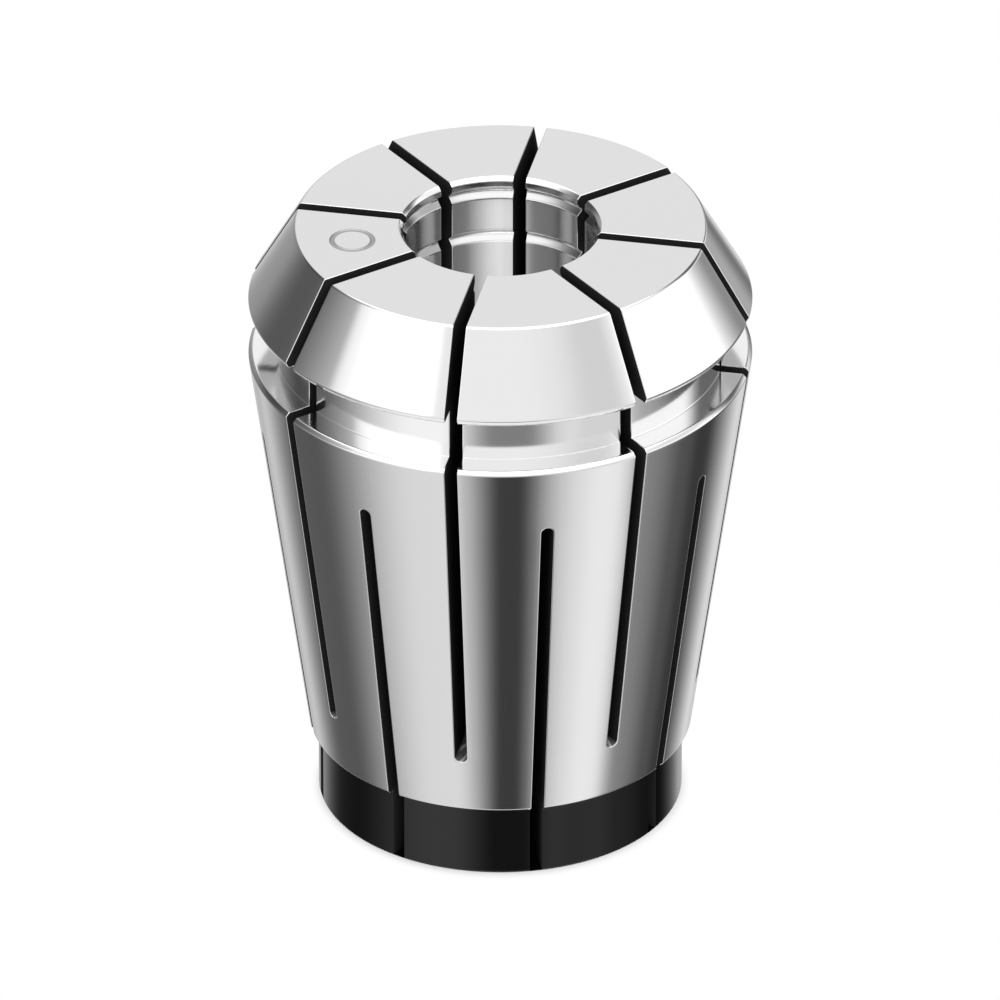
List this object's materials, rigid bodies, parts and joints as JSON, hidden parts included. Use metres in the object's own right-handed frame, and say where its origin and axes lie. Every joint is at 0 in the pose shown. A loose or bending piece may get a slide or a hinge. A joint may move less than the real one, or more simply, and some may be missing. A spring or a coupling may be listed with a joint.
{
  "type": "er collet",
  "caption": "Spring collet of hardened steel with an 8 degree taper, nose cone, extraction groove, through bore and slots cut in turn from both ends.",
  "frame": {"origin": "centre of the rear end face, which the collet stands on", "axes": "+Z along the bore axis, from the rear end to the front face; -Y through the middle of one of the slots cut from the front"},
  "size_m": [0.026, 0.026, 0.0331],
  "materials": {
    "ground_steel": "hardened and ground, satin, with black unground tail and slots"
  },
  "bodies": {
    "root": {"collet": "ground_steel"}
  },
  "joints": []
}
